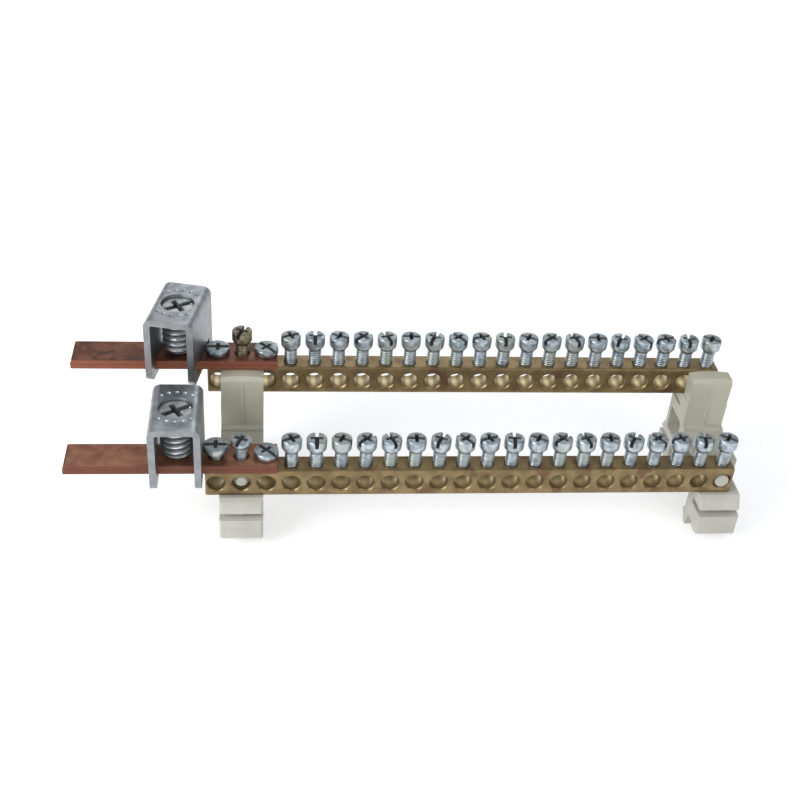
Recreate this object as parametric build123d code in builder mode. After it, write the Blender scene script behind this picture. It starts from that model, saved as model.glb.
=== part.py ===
from build123d import *
import os
from math import cos, radians, sin

# Neutral terminal bar assembly: two drilled brass bars in two steps, one above and behind the other.
# Each carries a row of clamp screws and, at its left end, a copper tail with a box lug.
# Two moulded supports hold both bars and snap into a sheet-metal panel.
# Frame: X runs along the bars to the right, Y runs back, Z is up. The feet of the supports stand on Z = 0.
# All sizes are in millimetres.

# Brass bars
hole_pitch = 7.5
hole_count = 22
wire_hole_diameter = 5.3
wire_mouth_chamfer = 0.4
bar_depth = 7.2
bar_height = 9.5
hole_over_underside = 4.5
bar_end_margin = 3.25
bar_edge_chamfer = 0.4
row_spacing = 30.0
row_rise = 17.0

# Clamp screws, standing open in the fourth to the last hole of each bar
first_clamp_hole = 3
shank_diameter = 4.0
thread_clearance = 0.1
screw_tip_clearance = 0.05
clamp_stand = 4.9
clamp_head_diameter = 6.2
clamp_head_height = 4.8
clamp_head_cone = 1.5
head_round = 0.4
shank_tip_chamfer = 0.5
drive_slot_width = 1.15
drive_depth_share = 0.4
drive_cross_length = 3.8
drive_turn_step = 67.0

# Copper tails: two strips on each bar, held by three screws
strip_width = 10.8
strip_thickness = 1.5
strip_count = 2
tail_overhang = 44.0
lower_strip_extra = 0.4
tail_over_bar = 18.3
tail_shift = 0.5
strip_corner_radius = 0.5
tail_hole_clearance = 0.6
tail_screw_length = 6.0
tail_head_diameter = 7.4
tail_head_height = 2.4
tail_head_cone = 0.3
loose_screw_lift = 2.1
small_screw_stand = 3.5
low_head_height = 3.0

# Box lugs: a bent steel strap with a window for the tail in each leg, and a pressure screw
lug_width = 15.0
lug_depth = 23.0
lug_setback = 0.5
lug_wall = 2.0
lug_bend_radius = 2.6
lug_height_over_tail = 17.2
lug_reach_under_tail = 2.1
lug_foot_radius = 2.5
lug_screw_gap = 0.1
rear_lug_slip = 0.5
rear_lug_turn = 11.5
window_clearance = 0.3
window_headroom = 1.0
window_radius = 0.3
lug_thread_diameter = 10.0
lug_thread_pitch = 2.0
lug_thread_depth = 1.0
lug_tip_diameter = 5.3
lug_screw_recess = 1.0
lug_slot_width = 1.8
lug_slot_depth = 2.2
stake_circle_diameter = 14.6
stake_mark_radius = 0.8
stake_mark_depth = 0.4
stake_marks_per_side = 5
stake_arc = 76.0

# Moulded supports, one behind the second hole and one behind the last
support_width = 13.2
support_corner_radius = 1.0
support_hole_numbers = (1, hole_count - 1)
bar_clearance = 0.2
foot_height = 16.9
base_thickness = 4.0
lip_crest = 1.0
lip_nose = 4.0
lip_slope_run = 1.6
lip_slope_height = 1.2
panel_slot_height = 2.0
panel_slot_root = 3.0
slot_rib_width = 0.8
slot_rib_setback = 2.0
block_nose = 4.9
block_depth = 4.7
block_height = 7.0
notch_height = 1.4
leg_thickness = 4.0
barb_reach = 1.0
barb_height = 4.4
leg_tip_width = 1.2
leg_tip_inset = 1.4
shelf_height = 7.3
ledge_rise = 1.0
ledge_depth = 2.1
jaw_thickness = 5.4
jaw_top_gap = 0.3
jaw_foot_width = 12.4
jaw_crown = 0.5
jaw_front_chamfer = 1.1
jaw_seam_width = 0.8
jaw_seam_height = 0.25
jaw_seam_drop = 3.0
saddle_thickness = 4.3
saddle_slot_height = 1.0
saddle_slot_start = 1.0
rear_lip_thickness = 1.2
rear_lip_height = 2.5
cavity_wall = 2.0
cavity_web = 3.6
cavity_floor = 3.0
saddle_flange = 4.2
cavity_radius = 0.8
peg_clearance = 0.4
peg_tip_length = 1.2
peg_root = 0.5
nearness = 0.01
front_peg_setbacks = (0.9, 0.1)
front_peg_tip_diameters = (3.0, 4.2)
rear_peg_length = 4.0

# Places that follow from the sizes above
last_hole_run = (hole_count - 1) * hole_pitch
tail_end_run = tail_overhang + lower_strip_extra
first_hole_x = (tail_end_run - last_hole_run - support_width / 2) / 2
bar_length = last_hole_run + 2 * bar_end_margin
bar_centre_x = first_hole_x + last_hole_run / 2
lug_turn_reach = lug_depth / 2 * cos(radians(rear_lug_turn)) + lug_width / 2 * sin(radians(rear_lug_turn))
front_face_y = (lug_depth / 2 - lug_turn_reach - row_spacing - bar_depth) / 2 - tail_shift - lug_setback
front_row = Vector(first_hole_x, front_face_y, foot_height)
rear_row = front_row + Vector(0, row_spacing, row_rise)
rows = {"front": front_row, "rear": rear_row}
tail_thickness = strip_count * strip_thickness
metal_over_wire_hole = bar_height - hole_over_underside - wire_hole_diameter / 2
screw_engagement = metal_over_wire_hole - screw_tip_clearance
peg_diameter = wire_hole_diameter - peg_clearance
clamp_screw_length = clamp_stand + screw_engagement
small_screw_length = small_screw_stand + tail_thickness + screw_engagement
lug_centre_from_hole = tail_head_diameter / 2 + lug_screw_gap + lug_width / 2


def write_piece(part, name):
    """Labels a finished piece and writes its STEP file."""
    part.label = name
    export_step(part, f"parts/{name}.step")


def hole_x(number):
    """X of a wire hole, counted from nought at the left end of the bars."""
    return first_hole_x + number * hole_pitch


def make_bar(corner):
    """A brass bar with its wire holes through and its threaded holes down from the top."""
    front = Plane.XZ.offset(-corner.Y)
    with BuildPart() as bar:
        with BuildSketch(Plane.YZ.offset(bar_centre_x)):
            with Locations((corner.Y + bar_depth / 2, corner.Z + bar_height / 2)):
                Rectangle(bar_depth, bar_height)
        extrude(amount=bar_length / 2, both=True)
        chamfer(bar.edges().filter_by(Axis.X), bar_edge_chamfer)
        with BuildSketch(front):
            with Locations((bar_centre_x, corner.Z + hole_over_underside)):
                with GridLocations(hole_pitch, 0, hole_count, 1):
                    Circle(wire_hole_diameter / 2)
        extrude(amount=-bar_depth, mode=Mode.SUBTRACT)
        chamfer(bar.faces().sort_by(Axis.Y)[0].edges().filter_by(GeomType.CIRCLE), wire_mouth_chamfer)
        chamfer(bar.faces().sort_by(Axis.Y)[-1].edges().filter_by(GeomType.CIRCLE), wire_mouth_chamfer)
        with BuildSketch(Plane.XY.offset(corner.Z + bar_height)):
            with Locations((bar_centre_x, corner.Y + bar_depth / 2)):
                with GridLocations(hole_pitch, 0, hole_count, 1):
                    Circle((shank_diameter + thread_clearance) / 2)
        extrude(amount=hole_over_underside - bar_height, mode=Mode.SUBTRACT)
    return bar.part


def make_screw(head_diameter, head_height, cone_height, length):
    """A slotted and crossed screw, tip down, with the foot of its head at the origin."""
    shank = shank_diameter / 2
    head = head_diameter / 2
    with BuildPart() as screw:
        with BuildSketch(Plane.XZ) as profile:
            with BuildLine():
                Polyline(
                    (0, -length),
                    (shank - shank_tip_chamfer, -length),
                    (shank, shank_tip_chamfer - length),
                    (shank, 0),
                    (head, cone_height),
                    (head, head_height),
                    (0, head_height),
                    close=True,
                )
            make_face()
            fillet(profile.vertices().group_by(Axis.X)[-1].sort_by(Axis.Y)[-1], head_round)
        revolve(axis=Axis.Z)
        with BuildSketch(Plane.XY.offset(head_height)):
            Rectangle(head_diameter, drive_slot_width)
            Rectangle(drive_slot_width, drive_cross_length)
        extrude(amount=-drive_depth_share * head_height, mode=Mode.SUBTRACT)
    return screw.part


def place_screws(screw, corner, numbers, underside):
    """Copies a screw to the given holes of a bar, each turned as it happened to be left."""
    axis_y = corner.Y + bar_depth / 2
    places = [
        Location((hole_x(number), axis_y, corner.Z + underside), (0, 0, number * drive_turn_step))
        for number in numbers
    ]
    with BuildPart() as group:
        with Locations(*places):
            add(screw)
    return group.part


def make_strip(corner, layer):
    """One copper strip of a tail, with its three screw holes. Layer nought lies on the bar."""
    overhang = tail_overhang + lower_strip_extra * (strip_count - 1 - layer)
    length = overhang + tail_over_bar
    centre_x = first_hole_x + (tail_over_bar - overhang) / 2
    centre_y = corner.Y + bar_depth / 2 + tail_shift
    with BuildPart() as strip:
        with BuildSketch(Plane.XY.offset(corner.Z + bar_height + layer * strip_thickness)):
            with Locations((centre_x, centre_y)):
                RectangleRounded(length, strip_width, strip_corner_radius)
            with Locations((hole_x(1), corner.Y + bar_depth / 2)):
                with GridLocations(hole_pitch, 0, first_clamp_hole, 1):
                    Circle((shank_diameter + tail_hole_clearance) / 2, mode=Mode.SUBTRACT)
        extrude(amount=strip_thickness)
    return strip.part


def make_lug_frame():
    """The strap of a box lug, with its origin on the screw's axis at the top of the tail."""
    turn = radians(rear_lug_turn)
    window_reach = (strip_width / 2 + lug_setback + lug_width / 2 * sin(turn)) / cos(turn) + window_clearance
    foot_z = -tail_thickness - lug_reach_under_tail
    plate_z = lug_height_over_tail
    with BuildPart() as frame:
        # Bent section, seen from the cable's side
        with BuildSketch(Plane.XZ) as section:
            with BuildLine():
                Polyline(
                    (-lug_width / 2, foot_z),
                    (-lug_width / 2, plate_z),
                    (lug_width / 2, plate_z),
                    (lug_width / 2, foot_z),
                    close=True,
                )
            make_face()
            fillet(section.vertices().group_by(Axis.Y)[-1], lug_bend_radius)
        extrude(amount=lug_depth / 2, both=True)
        with BuildSketch(Plane.XZ) as hollow:
            with BuildLine():
                Polyline(
                    (-lug_width / 2 + lug_wall, foot_z),
                    (-lug_width / 2 + lug_wall, plate_z - lug_wall),
                    (lug_width / 2 - lug_wall, plate_z - lug_wall),
                    (lug_width / 2 - lug_wall, foot_z),
                    close=True,
                )
            make_face()
            fillet(hollow.vertices().group_by(Axis.Y)[-1], lug_bend_radius - lug_wall)
        extrude(amount=lug_depth / 2, both=True, mode=Mode.SUBTRACT)
        # Rounded feet of the legs
        fillet(frame.edges().filter_by(Axis.X).group_by(Axis.Z)[0], lug_foot_radius)
        # Windows that the tail passes through
        with BuildSketch(Plane.YZ):
            with Locations((0, (window_headroom - tail_thickness) / 2)):
                RectangleRounded(2 * window_reach, tail_thickness + window_headroom, window_radius)
        extrude(amount=lug_width / 2, both=True, mode=Mode.SUBTRACT)
        # Threaded hole, with staking marks in front of it and behind it
        with BuildSketch(Plane.XY.offset(plate_z)):
            Circle((lug_thread_diameter + thread_clearance) / 2)
        extrude(amount=-lug_bend_radius, mode=Mode.SUBTRACT)
        for middle_angle in (90, -90):
            with Locations((0, 0, plate_z + stake_mark_radius - stake_mark_depth)):
                start_angle = middle_angle - stake_arc / 2
                with PolarLocations(
                    stake_circle_diameter / 2, stake_marks_per_side, start_angle, stake_arc, endpoint=True
                ):
                    Sphere(stake_mark_radius, mode=Mode.SUBTRACT)
    return frame.part


def make_lug_screw():
    """The pressure screw of a box lug, with its tip on the tail at the origin."""
    outer = lug_thread_diameter / 2
    tip = lug_tip_diameter / 2
    top_z = lug_height_over_tail - lug_screw_recess
    thread_top_z = lug_height_over_tail - lug_wall
    cone_z = outer - tip
    turns = int((thread_top_z - cone_z) / lug_thread_pitch)
    outline = [(0, top_z), (outer, top_z), (outer, thread_top_z)]
    for turn in range(turns):
        turn_z = thread_top_z - turn * lug_thread_pitch
        outline.append((outer - lug_thread_depth, turn_z - lug_thread_pitch / 2))
        outline.append((outer, turn_z - lug_thread_pitch))
    outline += [(outer, cone_z), (tip, 0), (0, 0)]
    with BuildPart() as screw:
        with BuildSketch(Plane.XZ):
            with BuildLine():
                Polyline(*outline, close=True)
            make_face()
        revolve(axis=Axis.Z)
        with BuildSketch(Plane.XY.offset(top_z)):
            Rectangle(lug_thread_diameter, lug_slot_width)
            Rectangle(lug_slot_width, lug_thread_diameter - 2 * lug_slot_width)
        extrude(amount=-lug_slot_depth, mode=Mode.SUBTRACT)
    return screw.part


def place_lug_piece(piece, corner, slip, turn):
    """Sets a piece of a box lug on the tail of a bar, slipped outwards and turned clockwise from above."""
    spot = (
        first_hole_x - lug_centre_from_hole - slip,
        corner.Y + bar_depth / 2 + tail_shift + lug_setback,
        corner.Z + bar_height + tail_thickness,
    )
    with BuildPart() as placed:
        with Locations(Location(spot, (0, 0, -turn))):
            add(piece)
    return placed.part


def foot_outline():
    """Side outline of the front foot: lower jaw of the panel slot, notch, and sprung leg with its barb."""
    face_y = front_row.Y
    slot_floor_z = front_row.Z - base_thickness - panel_slot_height
    block_foot_z = slot_floor_z - block_height
    leg_y = face_y + panel_slot_root
    return [
        (leg_y, front_row.Z - base_thickness),
        (leg_y, slot_floor_z),
        (face_y - block_nose, slot_floor_z),
        (face_y - block_nose, block_foot_z),
        (face_y - block_nose + block_depth, block_foot_z),
        (face_y - block_nose + block_depth, block_foot_z + notch_height),
        (leg_y, block_foot_z + notch_height),
        (leg_y + leg_tip_inset, 0),
        (leg_y + leg_tip_inset + leg_tip_width, 0),
        (leg_y + leg_thickness + barb_reach, barb_height - barb_reach),
        (leg_y + leg_thickness + barb_reach, barb_height),
        (leg_y + leg_thickness, barb_height),
        (leg_y + leg_thickness, front_row.Z - base_thickness),
    ]


def make_support(number, peg_setback, peg_tip_diameter):
    """A moulded support: snap feet, seat and peg for the front bar, tower with saddle and peg behind."""
    centre_x = hole_x(number)
    face_y = front_row.Y
    seat_z = front_row.Z
    underside_z = seat_z - base_thickness
    mirror_y = face_y + (row_spacing + bar_depth) / 2
    wall_y = face_y + bar_depth + bar_clearance
    jaw_back_y = rear_row.Y - bar_clearance
    jaw_front_y = jaw_back_y - jaw_thickness
    back_y = rear_row.Y + bar_depth + bar_clearance + rear_lip_thickness
    shelf_z = seat_z + shelf_height
    slot_floor_z = rear_row.Z - saddle_thickness - saddle_slot_height
    jaw_top_z = rear_row.Z + bar_height - jaw_top_gap
    foot = foot_outline()
    with BuildPart() as support:
        # Base with a lip under each side, the two feet, the body and the saddle, all in side view
        with BuildSketch(Plane.YZ.offset(centre_x)):
            with BuildLine():
                Polyline(
                    (mirror_y, underside_z),
                    (face_y - lip_nose, underside_z),
                    (face_y - lip_crest - lip_slope_run, seat_z - lip_slope_height),
                    (face_y - lip_crest, seat_z),
                    (mirror_y, seat_z),
                    close=True,
                )
            make_face()
            with BuildLine():
                Polyline(*foot, close=True)
            make_face()
            mirror(about=Plane.YZ.offset(mirror_y))
            with BuildLine():
                Polyline(
                    (wall_y, underside_z),
                    (wall_y, shelf_z),
                    (jaw_front_y - ledge_depth, shelf_z),
                    (jaw_front_y - ledge_depth, shelf_z + ledge_rise),
                    (jaw_front_y, shelf_z + ledge_rise),
                    (jaw_front_y, slot_floor_z),
                    (back_y, slot_floor_z),
                    (back_y, underside_z),
                    close=True,
                )
            make_face()
            with BuildLine():
                Polyline(
                    (jaw_front_y, slot_floor_z),
                    (jaw_front_y, rear_row.Z),
                    (back_y - rear_lip_thickness, rear_row.Z),
                    (back_y - rear_lip_thickness, rear_row.Z + rear_lip_height),
                    (back_y, rear_row.Z + rear_lip_height - rear_lip_thickness),
                    (back_y, slot_floor_z + saddle_slot_height),
                    (jaw_back_y + saddle_slot_start, slot_floor_z + saddle_slot_height),
                    (jaw_back_y + saddle_slot_start, slot_floor_z),
                    close=True,
                )
            make_face()
        extrude(amount=support_width / 2, both=True)
        # Coring from both sides, which leaves a web in the middle
        for side in (-1, 1):
            with BuildSketch(Plane.YZ.offset(centre_x + side * support_width / 2)) as cavities:
                with BuildLine():
                    Polyline(
                        (wall_y + cavity_wall, underside_z + cavity_floor),
                        (wall_y + cavity_wall, shelf_z - cavity_wall),
                        (jaw_front_y - cavity_wall, shelf_z - cavity_wall),
                        (jaw_front_y - cavity_wall, underside_z + cavity_floor),
                        close=True,
                    )
                make_face()
                with BuildLine():
                    Polyline(
                        (jaw_front_y + cavity_wall, underside_z + cavity_floor),
                        (jaw_front_y + cavity_wall, slot_floor_z - saddle_flange),
                        (back_y - cavity_wall, slot_floor_z - saddle_flange),
                        (back_y - cavity_wall, underside_z + cavity_floor),
                        close=True,
                    )
                make_face()
                fillet(cavities.vertices(), cavity_radius)
            extrude(amount=-side * (support_width - cavity_web) / 2, mode=Mode.SUBTRACT)
        # Jaw in front of the rear bar
        with BuildSketch(Plane.XZ.offset(-jaw_back_y)):
            with BuildLine():
                Polyline(
                    (centre_x + support_width / 2, jaw_top_z - jaw_crown),
                    (centre_x + jaw_foot_width / 2, shelf_z),
                    (centre_x - jaw_foot_width / 2, shelf_z),
                    (centre_x - support_width / 2, jaw_top_z - jaw_crown),
                )
                ThreePointArc(
                    (centre_x - support_width / 2, jaw_top_z - jaw_crown),
                    (centre_x, jaw_top_z),
                    (centre_x + support_width / 2, jaw_top_z - jaw_crown),
                )
            make_face()
        extrude(amount=jaw_thickness)
        jaw_face = support.faces().filter_by(Axis.Y).filter_by_position(
            Axis.Y, jaw_front_y - nearness, jaw_front_y + nearness
        ).sort_by(SortBy.AREA)[-1]
        chamfer(jaw_face.edges().filter_by(GeomType.CIRCLE), jaw_front_chamfer)
        # Rounded corners on the foot's block and on the lip above it
        nose_edges = support.edges().filter_by(Axis.X, reverse=True)
        for near_y, far_y in (
            (face_y - block_nose, face_y - block_nose),
            (face_y - lip_nose, face_y - lip_crest - lip_slope_run),
        ):
            corner_edges = nose_edges.filter_by_position(Axis.Y, near_y - nearness, far_y + nearness)
            fillet(corner_edges, support_corner_radius)
        # Pegs into the wire holes of both bars
        with BuildSketch(Plane.XY.offset(seat_z + hole_over_underside)):
            with BuildLine():
                Polyline(
                    (centre_x, wall_y + peg_root),
                    (centre_x + peg_diameter / 2, wall_y + peg_root),
                    (centre_x + peg_diameter / 2, face_y + peg_setback + peg_tip_length),
                    (centre_x + peg_tip_diameter / 2, face_y + peg_setback),
                    (centre_x, face_y + peg_setback),
                    close=True,
                )
            make_face()
        revolve(axis=Axis((centre_x, 0, seat_z + hole_over_underside), (0, 1, 0)))
        with BuildSketch(Plane.XZ.offset(-jaw_back_y)):
            with Locations((centre_x, rear_row.Z + hole_over_underside)):
                Circle(peg_diameter / 2)
        extrude(amount=-rear_peg_length)
        # Seam down the front of the jaw
        with BuildSketch(Plane.XZ.offset(-jaw_front_y)):
            with Locations((centre_x, shelf_z + ledge_rise)):
                Rectangle(
                    jaw_seam_width,
                    jaw_top_z - jaw_seam_drop - shelf_z - ledge_rise,
                    align=(Align.CENTER, Align.MIN),
                )
        extrude(amount=jaw_seam_height)
        # Rib across the mouth of each panel slot
        with BuildSketch(Plane.XY.offset(underside_z)):
            with Locations((centre_x, face_y - lip_nose + slot_rib_setback)):
                Rectangle(slot_rib_width, lip_nose + panel_slot_root, align=(Align.CENTER, Align.MIN))
        extrude(amount=-panel_slot_height)
    return support.part


os.makedirs("parts", exist_ok=True)

clamp_screw = make_screw(clamp_head_diameter, clamp_head_height, clamp_head_cone, clamp_screw_length)
tail_screw = make_screw(tail_head_diameter, tail_head_height, tail_head_cone, tail_screw_length)
small_screws = {
    "front": make_screw(clamp_head_diameter, low_head_height, clamp_head_cone, small_screw_length),
    "rear": make_screw(clamp_head_diameter, clamp_head_height, clamp_head_cone, small_screw_length),
}
lug_frame = make_lug_frame()
lug_screw = make_lug_screw()

for row_name, row_corner in rows.items():
    tail_top = bar_height + tail_thickness
    left_lift = loose_screw_lift if row_name == "front" else 0
    lug_slip, lug_turn = (rear_lug_slip, rear_lug_turn) if row_name == "rear" else (0, 0)
    write_piece(make_bar(row_corner), f"{row_name}_bar")
    clamp_screws = place_screws(
        clamp_screw, row_corner, range(first_clamp_hole, hole_count), bar_height + clamp_stand
    )
    write_piece(clamp_screws, f"{row_name}_clamp_screws")
    left_screw = place_screws(tail_screw, row_corner, [0], tail_top + left_lift)
    write_piece(left_screw, f"{row_name}_tail_screw_left")
    write_piece(place_screws(tail_screw, row_corner, [2], tail_top), f"{row_name}_tail_screw_right")
    write_piece(
        place_screws(small_screws[row_name], row_corner, [1], tail_top + small_screw_stand),
        f"{row_name}_tail_screw_small",
    )
    write_piece(make_strip(row_corner, 0), f"{row_name}_tail_lower_strip")
    write_piece(make_strip(row_corner, 1), f"{row_name}_tail_upper_strip")
    write_piece(place_lug_piece(lug_frame, row_corner, lug_slip, lug_turn), f"{row_name}_lug_frame")
    write_piece(place_lug_piece(lug_screw, row_corner, lug_slip, lug_turn), f"{row_name}_lug_screw")

for support_name, number, setback, tip in zip(
    ("left_support", "right_support"), support_hole_numbers, front_peg_setbacks, front_peg_tip_diameters
):
    write_piece(make_support(number, setback, tip), support_name)
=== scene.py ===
"""Looks of the neutral terminal bar: stepped brass bars, clamp screws, copper tails, box lugs and supports.

Lengths are metres and angles degrees, unless a name says otherwise. X runs along the bars to the right, Y
runs back and Z is up. Every place is worked out from the boxes of the frame's nodes.
"""

import logging
import math
from dataclasses import dataclass, field, replace
from enum import Enum

import bmesh
import bpy
import numpy as np
from mathutils import Matrix, Vector


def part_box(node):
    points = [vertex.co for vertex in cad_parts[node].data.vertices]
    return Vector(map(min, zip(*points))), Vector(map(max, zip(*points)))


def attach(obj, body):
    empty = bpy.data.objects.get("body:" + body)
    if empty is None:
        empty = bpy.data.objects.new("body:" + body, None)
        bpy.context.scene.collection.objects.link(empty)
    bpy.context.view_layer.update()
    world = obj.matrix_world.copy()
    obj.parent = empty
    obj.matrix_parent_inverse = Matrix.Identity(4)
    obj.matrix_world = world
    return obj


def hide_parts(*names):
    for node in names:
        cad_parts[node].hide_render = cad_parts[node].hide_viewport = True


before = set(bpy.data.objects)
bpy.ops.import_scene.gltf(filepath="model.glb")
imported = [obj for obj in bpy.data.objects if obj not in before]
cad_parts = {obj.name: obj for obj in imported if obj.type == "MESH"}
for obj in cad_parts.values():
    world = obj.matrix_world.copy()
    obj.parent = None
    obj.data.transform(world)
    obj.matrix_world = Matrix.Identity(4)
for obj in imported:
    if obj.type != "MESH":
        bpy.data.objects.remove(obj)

LOG = logging.getLogger("terminal_bar")
MM = 0.001
BODY = "root"

# The holes of a bar, and the turn from one screw head to the next.
HOLE_PITCH = 7.5 * MM
HOLE_COUNT = 22
FIRST_CLAMP_HOLE = 3
END_MARGIN = 3.25 * MM
HOLE_OVER_UNDERSIDE = 4.5 * MM
HEAD_TURN_STEP = 67.0

# Doubles, sharp edges, flat faces, bevelled edges and upright faces of a mesh.
MERGE_DISTANCE = 0.002 * MM
SHARP_ANGLE = 35.0
REFINED_SHARP_ANGLE = 28.0
FLAT_ANGLE = 0.5
BEVEL_ANGLE = 30.0
UPRIGHT_LIMIT = 0.5

# Rows of a thread, rings of a tile, and the rows and painted shade of a screw head.
ROWS_PER_TURN = 10
TILE_RINGS = (0.0, 0.3, 1.0)
CROSS_MARGIN = 1.05
ROUND_LIMIT = 0.6
EDGE_LIMIT = 0.2
# Painted shade in a head's slots: full on the floor, less up the walls and lips, faint across the lands, none
# near the rim.
UNSHADED_RIM = 4
WALL_SHADE = 0.8
LIP_SHADE = 0.35
MIDDLE_SHADE = 0.25
MIDDLE_SHIFT = 0.3
RIM_ROWS = ((1.0, 0.12), (0.65, 0.0), (0.3, 0.0), (0.1, 0.0), (0.0, 0.0))

# Noises, stains, grain and the light under the surface of a finish.
BLOTCH_DETAIL = 4.0
BLOTCH_EDGES = (0.32, 0.68)
STAIN_DETAIL = 6.0
STAIN_SPREAD = 0.4
STAIN_SOFTNESS = 0.12
GRAIN_DETAIL = 3.0
GRAIN_HEIGHT = 0.05 * MM
SUBSURFACE_RADIUS = (1.0, 0.8, 0.5)
SUBSURFACE_SCALE = 1 * MM


class Row(Enum):
    """The two bars, by their names in the frame."""

    FRONT = "front"
    REAR = "rear"


class Slot(Enum):
    """Material slots of the record."""

    BRASS_BAR = "brass_bar"
    COPPER_TAIL = "copper_tail"
    ZINC_SCREW = "zinc_screw"
    BRASS_SCREW = "brass_screw"
    ZINC_STRAP = "zinc_strap"
    PLASTIC = "support_plastic"


@dataclass(frozen=True)
class Surface:
    """A piece of a mesh: points as an (n, 3) array, faces as an (m, 4) array of point numbers, and painted
    shading.

    A corner where a face closes to a point is written twice, and merging the doubles makes it a triangle.
    Painted shading says how much of its finish's painted shading colour a point takes, from nought to one:
    painted shade in slots, thread grooves and on upright faces, painted light in bores and on some upright
    faces.
    """

    points: np.ndarray
    quads: np.ndarray
    # Painted light or shade of each point.
    painted_shading: np.ndarray

    @staticmethod
    def joined(parts: "list[Surface]") -> "Surface":
        """Puts several surfaces into one, with their faces renumbered.

        Args:
            parts: The surfaces to join.

        Returns:
            One surface that holds all their points and faces.
        """
        starts = np.cumsum([0] + [len(p.points) for p in parts[:-1]])
        return Surface(
            np.concatenate([p.points for p in parts]),
            np.concatenate([p.quads + start for p, start in zip(parts, starts)]),
            np.concatenate([p.painted_shading for p in parts]),
        )

    @staticmethod
    def grid(points: np.ndarray, close_columns: bool = False, painted_shading: float | np.ndarray = 0.0) -> "Surface":
        """Makes a surface from a grid of points: each face joins four neighbours.

        Args:
            points: An array of shape (rows, columns, 3).
            close_columns: Whether the last column joins the first.
            painted_shading: The painted light or shade, as one value or one that spreads over the rows and
                columns.

        Returns:
            The surface over the grid.
        """
        rows, columns = points.shape[:2]
        numbers = np.arange(rows * columns).reshape(rows, columns)
        if close_columns:
            numbers = np.concatenate([numbers, numbers[:, :1]], axis=1)
        quads = np.stack([numbers[:-1, :-1], numbers[:-1, 1:], numbers[1:, 1:], numbers[1:, :-1]], axis=-1)
        shade = np.broadcast_to(painted_shading, (rows, columns))
        return Surface(points.reshape(-1, 3), quads.reshape(-1, 4), shade.ravel())

    def placed(self, spot: np.ndarray, turn: float = 0.0) -> "Surface":
        """Turns the surface about Z and moves it.

        Args:
            spot: Where its origin goes.
            turn: Degrees, anticlockwise from above.

        Returns:
            The surface in its place.
        """
        angle = math.radians(turn)
        matrix = np.array(
            [[math.cos(angle), -math.sin(angle), 0], [math.sin(angle), math.cos(angle), 0], [0, 0, 1]]
        )
        return Surface(self.points @ matrix.T + np.asarray(spot), self.quads, self.painted_shading)


def revolved(profile: np.ndarray, steps: int) -> Surface:
    """Turns a profile about Z: a point (r, z) at angle a goes to (r cos a, r sin a, z).

    Args:
        profile: Radii, heights and painted shading, shape (k, 3).
        steps: Faces round the circle.

    Returns:
        The surface of revolution.
    """
    angles = np.linspace(0, 2 * np.pi, steps, endpoint=False)
    radii = profile[:, 0, None]
    heights = np.broadcast_to(profile[:, 1, None], (len(profile), steps))
    points = np.stack([radii * np.cos(angles), radii * np.sin(angles), heights], axis=-1)
    return Surface.grid(points, close_columns=True, painted_shading=profile[:, 2, None])


def arc(centre: tuple[float, float], radius: float, start: float, end: float, steps: int) -> np.ndarray:
    """Points of a circular arc in a plane, from the start angle to the end angle in degrees.

    Args:
        centre: The arc's centre.
        radius: Its radius.
        start: First angle.
        end: Last angle.
        steps: Number of chords.

    Returns:
        An array of shape (steps + 1, 2).
    """
    angles = np.radians(np.linspace(start, end, steps + 1))
    return np.stack([centre[0] + radius * np.cos(angles), centre[1] + radius * np.sin(angles)], axis=-1)


@dataclass(frozen=True)
class ThreadForm:
    """A helical thread on a shank, cut into the outer radius."""

    radius: float
    pitch: float
    depth: float
    crest_share: float = 0.18
    root_share: float = 0.22
    # Share of the painted shading colour at the groove's root: painted shade in the grooves.
    painted_shading: float = 0.25

    def surface(
        self, low: float, high: float, tip_radius: float, tip_height: float, steps: int = 32
    ) -> Surface:
        """Height field on a cylinder: at each angle and height the radius is the outer one less the groove.

        The groove's depth follows the fraction of a turn z / pitch - a / (2 pi): flat crest, straight flank,
        flat root, straight flank. Below the tip height a cone cuts the radius down to the tip radius.

        Args:
            low: Lowest height.
            high: Highest height.
            tip_radius: Radius of the flat tip.
            tip_height: Height of the cone above the tip.
            steps: Faces round the shank.

        Returns:
            The threaded shank with its tip closed.
        """
        rows = max(2, int((high - low) / self.pitch * ROWS_PER_TURN))
        heights = np.linspace(low, high, rows)[:, None]
        angles = np.linspace(0, 2 * np.pi, steps, endpoint=False)[None, :]
        turn = np.mod(heights / self.pitch - angles / (2 * np.pi), 1.0)
        flank = (1 - self.crest_share - self.root_share) / 2
        distance = np.abs(turn - 0.5) - self.root_share / 2
        groove = self.depth * np.clip(1 - distance / flank, 0, 1)
        cone = tip_radius + (heights - low) * (self.radius - tip_radius) / tip_height
        radius = np.minimum(self.radius - groove, np.broadcast_to(cone, groove.shape))
        z = np.broadcast_to(heights, radius.shape)
        points = np.stack([radius * np.cos(angles), radius * np.sin(angles), z], axis=-1)
        low_pole = np.broadcast_to(np.array([0.0, 0.0, low]), (1, steps, 3))
        high_pole = np.broadcast_to(np.array([0.0, 0.0, high]), (1, steps, 3))
        # Painted shade in the grooves, deepest at the root.
        shade = np.pad(groove / self.depth * self.painted_shading, ((1, 1), (0, 0)))
        return Surface.grid(np.concatenate([low_pole, points, high_pole]), close_columns=True, painted_shading=shade)


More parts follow.
